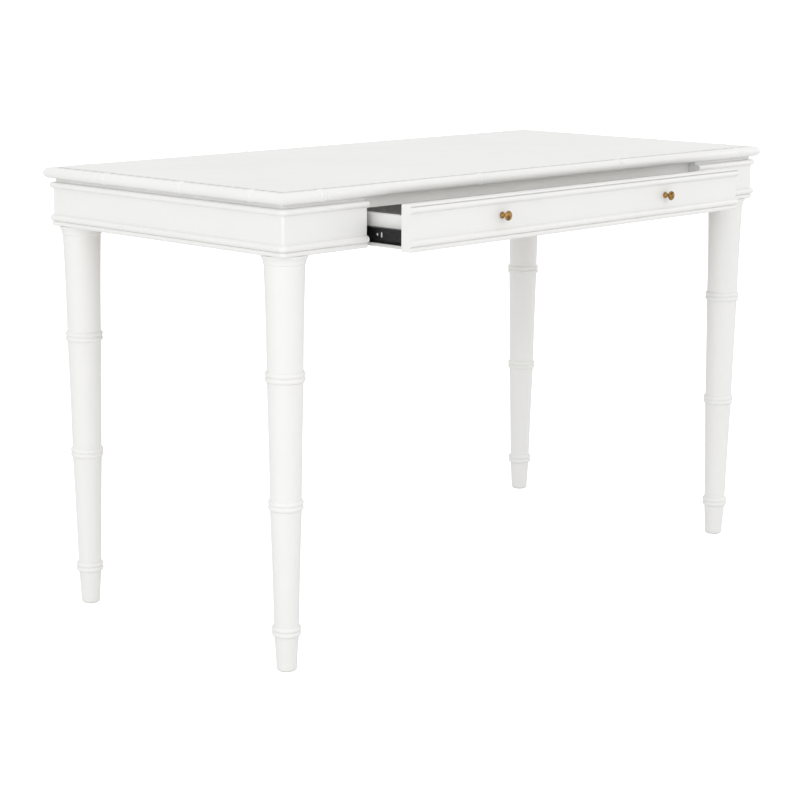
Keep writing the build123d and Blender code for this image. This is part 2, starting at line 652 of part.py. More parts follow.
def knob_profile():
    """Half outline of a knob: r along x, height from the drawer front along y."""
    with BuildSketch() as outline:
        with BuildLine():
            Line((0, 0), (5.6, 0))
            Line((5.6, 0), (5.6, 1.4))
            ThreePointArc((5.6, 1.4), (4.2, 3.0), (2.8, 4.8))
            ThreePointArc((2.8, 4.8), (2.6, 6.8), (3.4, 9.0))
            ThreePointArc((3.4, 9.0), (5.8, 10.6), (7.6, 12.2))
            ThreePointArc((7.6, 12.2), (8.0, 13.4), (7.4, 14.6))
            ThreePointArc((7.4, 14.6), (6.3, 15.3), (5.2, 15.1))
            TangentArc((0, KNOB_REACH), (5.2, 15.1), tangent=(1, 0))
            Line((0, KNOB_REACH), (0, 0))
        make_face()
    return outline.sketch


for side, x in zip(("left", "right"), KNOB_SPOTS):
    spot = Vector(x, FACE_Y, KNOB_Z)
    with BuildPart() as knob:
        with BuildSketch(Plane(origin=spot, x_dir=(1, 0, 0), z_dir=(0, 0, -1))):
            add(knob_profile())
        revolve(axis=Axis(spot, (0, -1, 0)))
        with BuildSketch(Plane(origin=spot, z_dir=(0, -1, 0))):
            Circle(KNOB_SCREW_R)
        extrude(amount=KNOB_SCREW_GRIP + 1, mode=Mode.SUBTRACT)
    save(knob, f"knob_{side}")

with BuildPart() as knob_screws:
    for x in KNOB_SPOTS:
        head = Plane(origin=(x, FRONT_BACK_Y + BOARD, KNOB_Z), z_dir=(0, 1, 0))
        with BuildSketch(head):
            Circle(KNOB_HEAD_R)
        extrude(amount=KNOB_HEAD_TALL)
        with BuildSketch(head):
            Circle(KNOB_SCREW_R - FIT)
        extrude(amount=-(BOARD + FRONT_THICK + KNOB_SCREW_GRIP))
        with BuildSketch(head.offset(KNOB_HEAD_TALL)):
            Rectangle(RECESS_LONG, RECESS_WIDE)
            Rectangle(RECESS_WIDE, RECESS_LONG)
        extrude(amount=-RECESS_DEEP, mode=Mode.SUBTRACT)
save(knob_screws, "knob_screws")

# ================================================================ drawer slides
CHANNEL_IN = CHANNEL_TALL / 2 - SHEET
RACE_MID = (CHANNEL_IN + RUNNER_TALL / 2) / 2
RETAINER_FRONT_Y = CHANNEL_FRONT_Y + (SLIDE_LENGTH - RETAINER_LENGTH) / 2 - DRAWER_OPEN / 2
BALL_U = 6.8               # ball centres from the desk's wall
BALL_STEP = RETAINER_LENGTH / BALL_COUNT


def slide_plane(direction, y):
    """Section of one slide: x runs from the desk's wall to the drawer, y up from its middle."""
    return Plane(origin=(direction * WALL_X, y, SLIDE_Z), x_dir=(-direction, 0, 0),
                 z_dir=(0, direction, 0))


def channel_section(web, tip, half, sheet):
    """C-shaped section: web outside at `web`, arms reaching `tip`, half height `half`."""
    low, high = min(web, tip), max(web, tip)
    step = sheet if tip > web else -sheet
    with BuildSketch() as section:
        with Locations(((low + high) / 2, 0)):
            Rectangle(high - low, 2 * half)
        with Locations(((web + step + tip + step) / 2, 0)):
            Rectangle(high - low, 2 * (half - sheet), mode=Mode.SUBTRACT)
    return section.sketch


for side, direction in (("left", -1), ("right", 1)):
    with BuildPart() as channel:
        with BuildSketch(slide_plane(direction, CHANNEL_FRONT_Y)):
            add(channel_section(0, CHANNEL_TIP, CHANNEL_TALL / 2, SHEET))
        extrude(amount=direction * SLIDE_LENGTH)
        wall = Plane(origin=(direction * WALL_X, CHANNEL_FRONT_Y, SLIDE_Z), x_dir=(0, 1, 0),
                     z_dir=(direction, 0, 0))
        with BuildSketch(wall):
            with Locations([(y, 0) for y in CHANNEL_HOLES]):
                Circle(MEMBER_HOLE_R)
        extrude(amount=SLIDE_THICK, both=True, mode=Mode.SUBTRACT)
    save(channel, f"slide_channel_{side}")
    with BuildPart() as runner:
        with BuildSketch(slide_plane(direction, RUNNER_FRONT_Y)):
            add(channel_section(SLIDE_THICK, RUNNER_TIP, RUNNER_TALL / 2, SHEET))
        extrude(amount=direction * SLIDE_LENGTH)
        wall = Plane(origin=(direction * WALL_X, RUNNER_FRONT_Y, SLIDE_Z), x_dir=(0, 1, 0),
                     z_dir=(direction, 0, 0))
        with BuildSketch(wall):
            with Locations([(y, 0) for y in RUNNER_SCREW_HOLES]):
                Circle(MEMBER_HOLE_R)
            with Locations((RUNNER_PIN_HOLE, 0)):
                Circle(RUNNER_PIN_R)
            with Locations([(y, 0) for y in RUNNER_SLOTS]):
                SlotOverall(SLOT_TALL, SLOT_WIDE, rotation=90)
        extrude(amount=2 * SLIDE_THICK, both=True, mode=Mode.SUBTRACT)
    save(runner, f"slide_runner_{side}")
    with BuildPart() as retainer:
        with BuildSketch(slide_plane(direction, RETAINER_FRONT_Y)):
            add(channel_section(RETAINER_WEB, RETAINER_TIP, RACE_MID + RETAINER_SHEET / 2,
                                RETAINER_SHEET))
        extrude(amount=direction * RETAINER_LENGTH)
        race = Plane(origin=(direction * (WALL_X - BALL_U), RETAINER_FRONT_Y, SLIDE_Z),
                     x_dir=(0, 1, 0), z_dir=(0, 0, 1))
        with BuildSketch(race):
            with Locations([((step + 0.5) * BALL_STEP, 0) for step in range(BALL_COUNT)]):
                Circle(BALL_R + FIT)
        extrude(amount=CHANNEL_TALL, both=True, mode=Mode.SUBTRACT)
    save(retainer, f"ball_retainer_{side}")
    with BuildPart() as balls:
        for step in range(BALL_COUNT):
            y = RETAINER_FRONT_Y + (step + 0.5) * BALL_STEP
            for height in (SLIDE_Z - RACE_MID, SLIDE_Z + RACE_MID):
                with Locations((direction * (WALL_X - BALL_U), y, height)):
                    Sphere(BALL_R)
    save(balls, f"slide_balls_{side}")


def pan_screw(head, direction, length):
    """Low pan-head screw lying on a sheet-metal slide member."""
    seat = Plane(origin=head, z_dir=direction)
    with BuildPart() as screw:
        with BuildSketch(seat):
            Circle(PAN_HEAD_R)
        extrude(amount=-PAN_HEAD_TALL)
        with BuildSketch(seat):
            Circle(PAN_SHANK_R - FIT)
        extrude(amount=length)
    return screw.part


with BuildPart() as channel_screws:
    for direction in (-1, 1):
        for y in CHANNEL_HOLES:
            seat = Vector(direction * (WALL_X - SHEET), CHANNEL_FRONT_Y + y, SLIDE_Z)
            add(pan_screw(seat, Vector(direction, 0, 0), PAN_SCREW_DEEP))
save(channel_screws, "channel_screws")

with BuildPart() as runner_screws:
    for direction in (-1, 1):
        for y in RUNNER_SCREW_HOLES:
            seat = Vector(direction * (BOX_X + SHEET), RUNNER_FRONT_Y + y, SLIDE_Z)
            add(pan_screw(seat, Vector(-direction, 0, 0), BOARD - 1))
save(runner_screws, "runner_screws")
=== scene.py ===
"""Looks of a white writing desk with turned bamboo-style legs and one wide drawer, left ajar.

Lengths are in metres unless a name ends in _MM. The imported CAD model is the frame: +X runs along
the desk, -Y is the drawer side and +Z is up. Lacquered, turned and moulded wood is rebuilt here
with rounded arrises; everything hidden keeps its CAD mesh and gets a worked material.
"""
import json
import math

import bmesh
import bpy
from mathutils import Matrix, Vector


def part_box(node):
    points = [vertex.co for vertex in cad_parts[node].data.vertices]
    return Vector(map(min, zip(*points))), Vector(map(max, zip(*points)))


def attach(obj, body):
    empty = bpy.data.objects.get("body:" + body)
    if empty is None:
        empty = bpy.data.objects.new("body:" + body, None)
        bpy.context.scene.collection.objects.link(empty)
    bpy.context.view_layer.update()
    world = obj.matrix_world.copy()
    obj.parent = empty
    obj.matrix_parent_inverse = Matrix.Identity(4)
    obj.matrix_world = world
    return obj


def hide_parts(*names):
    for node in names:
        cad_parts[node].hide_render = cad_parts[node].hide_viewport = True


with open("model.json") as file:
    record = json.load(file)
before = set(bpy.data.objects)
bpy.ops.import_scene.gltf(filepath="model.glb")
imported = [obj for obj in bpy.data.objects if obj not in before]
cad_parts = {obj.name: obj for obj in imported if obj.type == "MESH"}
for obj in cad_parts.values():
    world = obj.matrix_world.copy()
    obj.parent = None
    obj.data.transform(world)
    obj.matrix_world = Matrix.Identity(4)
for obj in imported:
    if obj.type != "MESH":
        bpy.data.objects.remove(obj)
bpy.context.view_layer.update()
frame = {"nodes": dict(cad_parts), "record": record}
MM = 0.001

# ---------------------------------------------------------------- places taken from the frame
panel_low, panel_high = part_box("top_panel")
front_low, front_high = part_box("edge_moulding_front")
left_low, left_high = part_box("edge_moulding_left")
CENTRE = Vector((0, (panel_low.y + panel_high.y) / 2, 0))
HALF_X = front_high.x
HALF_Y = (left_high.y - left_low.y) / 2

# ---------------------------------------------------------------- section of the top and aprons
MOULD_R_MM = 9.0
MOULD_TOP_MM = 749.0
MOULD_WIDE_MM = 18.0
GROOVE_WIDE_MM = 1.6
GROOVE_DEEP_MM = 3.2
MOULD_MID_MM = MOULD_TOP_MM - MOULD_R_MM
RING_HALF_MM = 7.4
RING_BEAD_MM = 5.7
RING_PROUD_MM = 0.85
RING_QUIRK_MM = 0.6
RING_PITCH_MM = 356.7
RING_SHIFT_MM = 10.7
FRONT_RINGS_MM = tuple(step * RING_PITCH_MM + RING_SHIFT_MM for step in (-1.5, -0.5, 0.5, 1.5))
END_RINGS_MM = (-215.0, -52.0, 135.0)
APRON_LOW_MM = 652.5
APRON_HIGH_MM = 725.0
CORNER_AXIS_MM = 15.5
APRON_BACK_MM = 28.5
OPENING_MM = 425.0
FRONT_HALF_MM = 422.5
FRONT_BACK_MM = 27.5
DRAWER_OUT_MM = 88.0
DRAWER_LIP_MM = 3.2
ARRIS_MM = 0.5
UNDERCUT_MM = 1.6          # how far the board's edge is hollowed beside the moulding

OUTWARD = {"front": Vector((0, -1, 0)), "back": Vector((0, 1, 0)),
           "left": Vector((-1, 0, 0)), "right": Vector((1, 0, 0))}
UP = Vector((0, 0, 1))


# ================================================================ materials
def new_material(name):
    """A material with its output and a Principled shader, and short ways to add nodes to it."""
    material = bpy.data.materials.new(name)
    material.use_nodes = True
    tree = material.node_tree
    return material, tree, tree.nodes["Principled BSDF"]


def noise(tree, scale, detail=3.0, rough=0.5, stretch=(1, 1, 1)):
    """Noise in the piece's own space; stretch multiplies the pattern's frequency per axis."""
    place = tree.nodes.new("ShaderNodeTexCoord")
    mapping = tree.nodes.new("ShaderNodeMapping")
    mapping.inputs["Scale"].default_value = stretch
    tree.links.new(place.outputs["Object"], mapping.inputs["Vector"])
    texture = tree.nodes.new("ShaderNodeTexNoise")
    texture.inputs["Scale"].default_value = scale
    texture.inputs["Detail"].default_value = detail
    texture.inputs["Roughness"].default_value = rough
    tree.links.new(mapping.outputs["Vector"], texture.inputs["Vector"])
    return texture.outputs["Fac"]


def ramp(tree, fac, stops):
    """Colour ramp with (position, colour) stops."""
    node = tree.nodes.new("ShaderNodeValToRGB")
    elements = node.color_ramp.elements
    while len(elements) < len(stops):
        elements.new(0.5)
    for element, (position, colour) in zip(elements, stops):
        element.position = position
        element.color = (*colour, 1.0)
    tree.links.new(fac, node.inputs["Fac"])
    return node.outputs["Color"]


def spread(tree, fac, low, high):
    """Map 0.3 to 0.7, where noise mostly lies, onto low to high."""
    node = tree.nodes.new("ShaderNodeMapRange")
    node.inputs["From Min"].default_value = 0.3
    node.inputs["From Max"].default_value = 0.7
    node.inputs["To Min"].default_value = low
    node.inputs["To Max"].default_value = high
    tree.links.new(fac, node.inputs["Value"])
    return node.outputs["Result"]


def bump(tree, height, strength, distance, before=None):
    node = tree.nodes.new("ShaderNodeBump")
    node.inputs["Strength"].default_value = strength
    node.inputs["Distance"].default_value = distance
    tree.links.new(height, node.inputs["Height"])
    if before is not None:
        tree.links.new(before, node.inputs["Normal"])
    return node.outputs["Normal"]


def lacquer(name, grain, tint=(0.0, 0.0, 0.0)):
    """Sprayed satin lacquer: faint orange peel, a trace of the grain below it, slow mottling."""
    material, tree, shader = new_material(name)
    mottling = noise(tree, 5.0, detail=4.0)
    base = [0.845 + tint[0], 0.843 + tint[1], 0.828 + tint[2]]
    low = tuple(value - 0.012 for value in base)
    high = tuple(value + 0.008 for value in base)
    tree.links.new(ramp(tree, mottling, [(0.35, low), (0.65, high)]), shader.inputs["Base Color"])
    streak = noise(tree, 60.0, detail=5.0, stretch=grain)
    tree.links.new(spread(tree, streak, 0.30, 0.40), shader.inputs["Roughness"])
    peel = noise(tree, 520.0, detail=1.0)
    normal = bump(tree, streak, 0.05, 0.0002)
    normal = bump(tree, peel, 0.06, 0.0001, normal)
    tree.links.new(normal, shader.inputs["Normal"])
    shader.inputs["Specular IOR Level"].default_value = 0.45
    shader.inputs["Coat Weight"].default_value = 0.15
    shader.inputs["Coat Roughness"].default_value = 0.18
    return material


def wood(name, grain, dark, light):
    """Sanded bare hardwood with its grain along one axis."""
    material, tree, shader = new_material(name)
    figure = noise(tree, 22.0, detail=6.0, rough=0.6, stretch=grain)
    pores = noise(tree, 160.0, detail=4.0, stretch=grain)
    mix = tree.nodes.new("ShaderNodeMath")
    mix.operation = "MULTIPLY_ADD"
    mix.inputs[1].default_value = 0.35
    tree.links.new(pores, mix.inputs[0])
    tree.links.new(figure, mix.inputs[2])
    colour = ramp(tree, mix.outputs["Value"], [(0.45, dark), (0.75, light)])
    tree.links.new(colour, shader.inputs["Base Color"])
    tree.links.new(spread(tree, pores, 0.55, 0.75), shader.inputs["Roughness"])
    tree.links.new(bump(tree, pores, 0.25, 0.0003), shader.inputs["Normal"])
    return material


def antique_brass(name):
    """Darkened brass, rubbed bright in patches."""
    material, tree, shader = new_material(name)
    patina = noise(tree, 180.0, detail=5.0, rough=0.6)
    colour = ramp(tree, patina, [(0.30, (0.10, 0.05, 0.015)), (0.50, (0.34, 0.19, 0.06)),
                                 (0.72, (0.62, 0.38, 0.13))])
    tree.links.new(colour, shader.inputs["Base Color"])
    tree.links.new(spread(tree, patina, 0.42, 0.26), shader.inputs["Roughness"])
    scratches = noise(tree, 900.0, detail=2.0, stretch=(1, 1, 6))
    tree.links.new(bump(tree, scratches, 0.12, 0.00005), shader.inputs["Normal"])
    shader.inputs["Metallic"].default_value = 1.0
    return material


def metal(name, dark, light, rough, metallic):
    """Plated or coated steel with fine mottling."""
    material, tree, shader = new_material(name)
    mottling = noise(tree, 240.0, detail=4.0)
    tree.links.new(ramp(tree, mottling, [(0.35, dark), (0.65, light)]),
                   shader.inputs["Base Color"])
    tree.links.new(spread(tree, mottling, rough - 0.06, rough + 0.06), shader.inputs["Roughness"])
    drawn = noise(tree, 700.0, detail=2.0, stretch=(1, 0.05, 1))
    tree.links.new(bump(tree, drawn, 0.10, 0.00005), shader.inputs["Normal"])
    shader.inputs["Metallic"].default_value = metallic
    return material


def plastic(name):
    material, tree, shader = new_material(name)
    texture = noise(tree, 900.0, detail=2.0)
    tree.links.new(ramp(tree, texture, [(0.3, (0.66, 0.66, 0.62)), (0.7, (0.72, 0.72, 0.69))]),
                   shader.inputs["Base Color"])
    tree.links.new(spread(tree, texture, 0.42, 0.58), shader.inputs["Roughness"])
    tree.links.new(bump(tree, texture, 0.2, 0.0001), shader.inputs["Normal"])
    return material


ALONG_X = (0.06, 1, 1)
ALONG_Y = (1, 0.06, 1)
ALONG_Z = (1, 1, 0.06)
white_x = lacquer("white_lacquer_grain_x", ALONG_X)
white_y = lacquer("white_lacquer_grain_y", ALONG_Y)
white_z = lacquer("white_lacquer_turned", ALONG_Z)
white_top = lacquer("white_lacquer_top", ALONG_X, tint=(0.004, 0.004, 0.010))
bare_x = wood("bare_hardwood_x", ALONG_X, (0.40, 0.26, 0.14), (0.62, 0.45, 0.28))
bare_y = wood("bare_hardwood_y", ALONG_Y, (0.40, 0.26, 0.14), (0.62, 0.45, 0.28))
bare_z = wood("bare_hardwood_z", ALONG_Z, (0.36, 0.23, 0.12), (0.58, 0.42, 0.26))
board = lacquer("white_faced_board", ALONG_X, tint=(-0.04, -0.04, -0.045))
brass = antique_brass("antique_brass")
black_steel = metal("black_coated_steel", (0.010, 0.010, 0.011), (0.022, 0.022, 0.024), 0.38, 0.4)
zinc_steel = metal("zinc_plated_steel", (0.50, 0.50, 0.49), (0.66, 0.66, 0.64), 0.32, 1.0)
ball_steel = metal("bearing_steel", (0.70, 0.70, 0.71), (0.78, 0.78, 0.79), 0.12, 1.0)
nylon = plastic("moulded_nylon")


# ================================================================ mesh helpers
def through(start, via, end, steps):
    """Points after `start` up to `end`, on the circle through three points."""
    (ax, ay), (bx, by), (cx, cy) = start, via, end
    double_area = 2 * (ax * (by - cy) + bx * (cy - ay) + cx * (ay - by))
    aa, bb, cc = ax * ax + ay * ay, bx * bx + by * by, cx * cx + cy * cy
    ux = (aa * (by - cy) + bb * (cy - ay) + cc * (ay - by)) / double_area
    uy = (aa * (cx - bx) + bb * (ax - cx) + cc * (bx - ax)) / double_area
    radius = math.hypot(ax - ux, ay - uy)
    first = math.atan2(ay - uy, ax - ux)
    sweep = (math.atan2(cy - uy, cx - ux) - first) % math.tau
    middle = (math.atan2(by - uy, bx - ux) - first) % math.tau
    if middle > sweep:
        sweep -= math.tau
    return [(ux + radius * math.cos(first + sweep * step / steps),
             uy + radius * math.sin(first + sweep * step / steps)) for step in range(1, steps + 1)]


def finish_piece(name, bm, material, body, nodes, sharp=35.0):
    """Turn a bmesh in millimetres into a smooth-shaded piece that replaces its CAD nodes."""
    bmesh.ops.remove_doubles(bm, verts=bm.verts, dist=0.002)
    bmesh.ops.dissolve_degenerate(bm, edges=bm.edges, dist=0.001)
    bmesh.ops.recalc_face_normals(bm, faces=bm.faces)
    bmesh.ops.scale(bm, vec=(MM, MM, MM), verts=bm.verts)
    for face in bm.faces:
        face.smooth = True
    mesh = bpy.data.meshes.new(name)
    bm.to_mesh(mesh)
    bm.free()
    mesh.set_sharp_from_angle(angle=math.radians(sharp))
    piece = bpy.data.objects.new(name, mesh)
    bpy.context.scene.collection.objects.link(piece)
    mesh.materials.append(material)
    weighted = piece.modifiers.new("weighted", "WEIGHTED_NORMAL")
    weighted.keep_sharp = True
    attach(piece, body)
    if nodes:
        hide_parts(*nodes)
    return piece


def lathe(profile, centre, axis, across, segments=96):
    """Revolve (radius, height) points in millimetres round `axis` through `centre`."""
    bm = bmesh.new()
    other = axis.cross(across)
    rows = []
    for radius, height in profile:
        middle = centre + axis * height
        if radius < 0.001:
            rows.append([bm.verts.new(middle)])
            continue
        row = []
        for step in range(segments):
            angle = math.tau * step / segments
            row.append(bm.verts.new(middle + across * radius * math.cos(angle)
                                    + other * radius * math.sin(angle)))
        rows.append(row)
    for low, high in zip(rows, rows[1:]):
        for step in range(segments):
            after = (step + 1) % segments
            if len(low) == 1 and len(high) == 1:
                continue
            if len(low) == 1:
                bm.faces.new((low[0], high[step], high[after]))
            elif len(high) == 1:
                bm.faces.new((low[step], low[after], high[0]))
            else:
                bm.faces.new((low[step], low[after], high[after], high[step]))
    return bm


def soften(bm, arris, skip=()):
    """Round every sharp edge that isn't in `skip` by `arris` millimetres."""
    kept = set(skip)
    sharp = [edge for edge in bm.edges
             if edge not in kept and len(edge.link_faces) == 2
             and edge.calc_face_angle(0.0) > math.radians(32)]
    bmesh.ops.bevel(bm, geom=sharp, offset=arris, segments=3, profile=0.5, affect="EDGES",
                    clamp_overlap=True)


def run_mesh(side, profile, stations, start=None, end=None, corner=None, arris=ARRIS_MM,
             mitre_arris=0.0, lift=None, shift=Vector((0, 0, 0))):
    """Sweep a closed (inset, height) profile along one side of the desk.

    The front run goes toward -X, the back run toward +X, the left run toward +Y and the right run
    toward -Y. A missing start or end is mitred at 45 degrees with the next side, and rounded about
    the vertical line at inset `corner` if one is given. `lift(along, inset, height)` moves a point of
    the section, for the rings."""
    outward = OUTWARD[side]
    along = outward.cross(UP)
    half_out = (HALF_Y if side in ("front", "back") else HALF_X) / MM
    half_along = (HALF_X if side in ("front", "back") else HALF_Y) / MM
    origin = CENTRE / MM + shift

    def spot(inset, height, place):
        if lift is not None:
            inset, height = lift(place, inset, height)
        return origin + outward * (half_out - inset) + along * place + UP * height

    def mitre(way):
        """Rows of the mitred or rounded end; way is -1 at the start and 1 at the end."""
        if corner is None:
            return [[spot(i, z, way * (half_along - i)) for i, z in profile]]
        axis = origin + outward * (half_out - corner) + along * way * (half_along - corner)
        rows = []
        for step in range(9):
            turn = math.radians(45 * step / 8)
            lean = outward * math.cos(turn) + along * way * math.sin(turn)
            rows.append([axis + lean * (corner - i) + UP * z if i < corner
                         else spot(i, z, way * (half_along - i)) for i, z in profile])
        return rows

    rows = []
    rows += mitre(-1)[::-1] if start is None else [[spot(i, z, start) for i, z in profile]]
    rows += [[spot(i, z, place) for i, z in profile] for place in stations]
    rows += mitre(1) if end is None else [[spot(i, z, end) for i, z in profile]]
    bm = bmesh.new()
    made = [[bm.verts.new(point) for point in row] for row in rows]
    count = len(profile)
    for low, high in zip(made, made[1:]):
        for index in range(count):
            after = (index + 1) % count
            bm.faces.new((low[index], low[after], high[after], high[index]))
    caps = [bm.faces.new(made[0]), bm.faces.new(made[-1][::-1])]
    bmesh.ops.remove_doubles(bm, verts=bm.verts, dist=0.002)
    bmesh.ops.recalc_face_normals(bm, faces=bm.faces)
    mitred = set()
    for cap, joined in zip(caps, (start is None, end is None)):
        if joined and cap.is_valid:
            mitred.update(cap.edges)
    soften(bm, arris, skip=mitred)
    if mitre_arris:
        hairline = [edge for edge in mitred if edge.is_valid]
        bmesh.ops.bevel(bm, geom=hairline, offset=mitre_arris, segments=1, affect="EDGES",
                        clamp_overlap=True)
    return bm


# ================================================================ tabletop
def moulding_profile():
    """Half-round edge with a narrow groove beside the panel. Points are (inset, height)."""
    top, low = MOULD_TOP_MM, MOULD_TOP_MM - 2 * MOULD_R_MM
    groove = MOULD_WIDE_MM - GROOVE_WIDE_MM
    points = [(MOULD_WIDE_MM, low), (MOULD_WIDE_MM, top - GROOVE_DEEP_MM),
              (groove, top - GROOVE_DEEP_MM), (groove - 0.2, top - 2.0), (groove - 0.8, top - 1.35)]
    points += through(points[-1], (14.0, top - 0.6), (11.5, top), 6)
    points += [(MOULD_R_MM, top)]
    points += through((MOULD_R_MM, top), (0, MOULD_MID_MM), (MOULD_R_MM, low), 28)
    return points


def ring_height(offset):
    """Height of a double bead, `offset` millimetres along from its middle."""
    distance = abs(offset)
    if distance > RING_HALF_MM:
        return 0.0
    if distance > RING_BEAD_MM:
        beyond = (distance - RING_BEAD_MM) / (RING_HALF_MM - RING_BEAD_MM)
        return -RING_QUIRK_MM * math.sin(math.pi * beyond)
    bead = math.sin(math.pi * distance / RING_BEAD_MM)
    return (RING_PROUD_MM + RING_QUIRK_MM) * bead ** 0.6 - RING_QUIRK_MM


def ring_lift(places):
    """Moves a point of the half-round section outward where a ring lies."""
    def lift(place, inset, height):
        nearest = min(places, key=lambda ring: abs(ring - place))
        rise = ring_height(place - nearest)
        if rise == 0.0 or inset > MOULD_WIDE_MM - 1.0:
            return inset, height
        if inset > MOULD_R_MM:
            if height < MOULD_MID_MM:
                return inset, height
            fade = (MOULD_WIDE_MM - 1.0 - inset) / (MOULD_WIDE_MM - 1.0 - MOULD_R_MM)
            return inset, height + rise * min(1.0, 1.6 * fade)
        across, up = MOULD_R_MM - inset, height - MOULD_MID_MM
        scale = (MOULD_R_MM + rise) / MOULD_R_MM
        return MOULD_R_MM - across * scale, MOULD_MID_MM + up * scale
    return lift


def ring_stations(places):
    offsets = [-RING_HALF_MM + 2 * RING_HALF_MM * step / 32 for step in range(33)]
    return [place + offset for place in places for offset in offsets]


for side in OUTWARD:
    if side in ("front", "back"):
        way = -1 if side == "front" else 1
        places = tuple(sorted(way * place for place in FRONT_RINGS_MM))
        skin = white_x
    else:
        way = 1 if side == "left" else -1
        places = tuple(sorted(way * place for place in END_RINGS_MM))
        skin = white_y
    mesh = run_mesh(side, moulding_profile(), ring_stations(places), lift=ring_lift(places),
                    arris=0.3, mitre_arris=0.25)
    finish_piece(f"bullnose_{side}", mesh, skin, "desk", [f"edge_moulding_{side}"])

def board_mesh():
    """The flat panel; its edge is undercut beside the moulding, which leaves a shadow line."""
    bm = bmesh.new()
    top = panel_high.z / MM
    levels = ((0.0, panel_low.z / MM), (0.0, top - 4.4), (UNDERCUT_MM, top - 3.4), (0.0, top - 0.6),
              (0.15, top - 0.2), (0.6, top))
    loops = []
    for inset, height in levels:
        low = panel_low / MM + Vector((inset, inset, 0))
        high = panel_high / MM - Vector((inset, inset, 0))
        loops.append([bm.verts.new((x, y, height)) for x, y in
                      ((low.x, low.y), (high.x, low.y), (high.x, high.y), (low.x, high.y))])
    for under, over in zip(loops, loops[1:]):
        for index in range(4):
            after = (index + 1) % 4
            bm.faces.new((under[index], under[after], over[after], over[index]))
    bm.faces.new(loops[0][::-1])
    bm.faces.new(loops[-1])
    return bm


finish_piece("tabletop_board", board_mesh(), white_top, "desk", ["top_panel"])


# ================================================================ aprons and drawer front
def apron_profile(back, lip=0.0):
    """Frieze between an upper bead, a lower bead and a small fillet; points are (inset, height).

    With a `lip`, the upper bead sits that much lower and a small rounded edge lies over it."""
    points = [(back, APRON_LOW_MM), (10.5, APRON_LOW_MM)]
    points += through(points[-1], (7.5, 656.5), (9.2, 660.1), 10)
    points += [(10.3, 660.5)]
    points += through(points[-1], (4.5, 666.0), (10.3, 671.4), 16)
    points += [(10.5, 671.9), (10.5, 714.6 - lip), (10.0, 715.0 - lip)]
    points += through(points[-1], (4.5, 720.0 - lip), (9.0, 724.8 - lip), 16)
    if lip:
        points += [(9.3, 725.1 - lip), (6.9, 725.4 - lip)]
        points += through(points[-1], (6.4, 724.4), (7.4, APRON_HIGH_MM), 5)
    points += [(back, APRON_HIGH_MM)]
    return points


for side in ("back", "left", "right"):
    mesh = run_mesh(side, apron_profile(APRON_BACK_MM), [], corner=CORNER_AXIS_MM)
    finish_piece(f"beaded_apron_{side}", mesh, white_x if side == "back" else white_y, "desk",
                 [f"apron_{side}"])
mesh = run_mesh("front", apron_profile(APRON_BACK_MM), [], start=OPENING_MM, corner=CORNER_AXIS_MM)
finish_piece("beaded_apron_front_left", mesh, white_x, "desk", ["apron_front_left"])
mesh = run_mesh("front", apron_profile(APRON_BACK_MM), [], end=-OPENING_MM, corner=CORNER_AXIS_MM)
finish_piece("beaded_apron_front_right", mesh, white_x, "desk", ["apron_front_right"])
mesh = run_mesh("front", apron_profile(FRONT_BACK_MM, lip=DRAWER_LIP_MM), [],
                start=-FRONT_HALF_MM, end=FRONT_HALF_MM, arris=0.7,
                shift=Vector((0, -DRAWER_OUT_MM, 0)))
finish_piece("beaded_drawer_front", mesh, white_x, "drawer", ["drawer_front"])

# ================================================================ legs
LEG_RINGS_MM = ((64.5, 19.3, 23.1, 21.9), (266.0, 24.6, 27.6, 26.8), (466.4, 28.1, 31.3, 29.95))
RING_REACH_MM = 8.7
VALLEY_DEEPER_MM = 0.7     # the groove between two beads, deeper than in the CAD
FOOT_MM = 15.9
COLLAR_MM = 36.2
GLIDE_MM = 1.5


def leg_profile():
    """Turned outline from the foot to the collar: tapered canes between double beads."""
    points = [(0, GLIDE_MM), (FOOT_MM - 1.4, GLIDE_MM)]
    points += through(points[-1], (FOOT_MM - 0.4, GLIDE_MM + 0.4), (FOOT_MM, GLIDE_MM + 1.4), 5)
    for height, body, bead, valley in LEG_RINGS_MM:
        valley -= VALLEY_DEEPER_MM
        start = (body, height - RING_REACH_MM)
        last = points[-1]
        points += through(last, ((last[0] + start[0]) / 2 - 0.35, (last[1] + start[1]) / 2),
                          start, 14)
        points += through(start, (bead, height - RING_REACH_MM / 2), (valley, height), 12)
        last = (body, height + RING_REACH_MM)
        points += through((valley, height), (bead, height + RING_REACH_MM / 2), last, 12)
    neck = (31.6, APRON_LOW_MM - 15.0)
    last = points[-1]
    points += through(last, ((last[0] + neck[0]) / 2 - 0.6, (last[1] + neck[1]) / 2), neck, 16)
    points += [(31.9, APRON_LOW_MM - 14.0), (32.6, APRON_LOW_MM - 13.6),
               (33.0, APRON_LOW_MM - 12.6)]
    points += through(points[-1], (33.8, APRON_LOW_MM - 7.0), (COLLAR_MM, APRON_LOW_MM - 3.0), 10)
    points += [(COLLAR_MM, APRON_LOW_MM - 0.5), (COLLAR_MM - 0.5, APRON_LOW_MM),
               (0, APRON_LOW_MM)]
    return points


for corner in ("front_left", "front_right", "back_left", "back_right"):
    low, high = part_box(f"leg_{corner}")
    centre = Vector(((low.x + high.x) / 2, (low.y + high.y) / 2, 0)) / MM
    mesh = lathe(leg_profile(), centre, UP, Vector((1, 0, 0)))
    finish_piece(f"turned_leg_{corner}", mesh, white_z, "desk", [f"leg_{corner}"],
                 sharp=40.0)


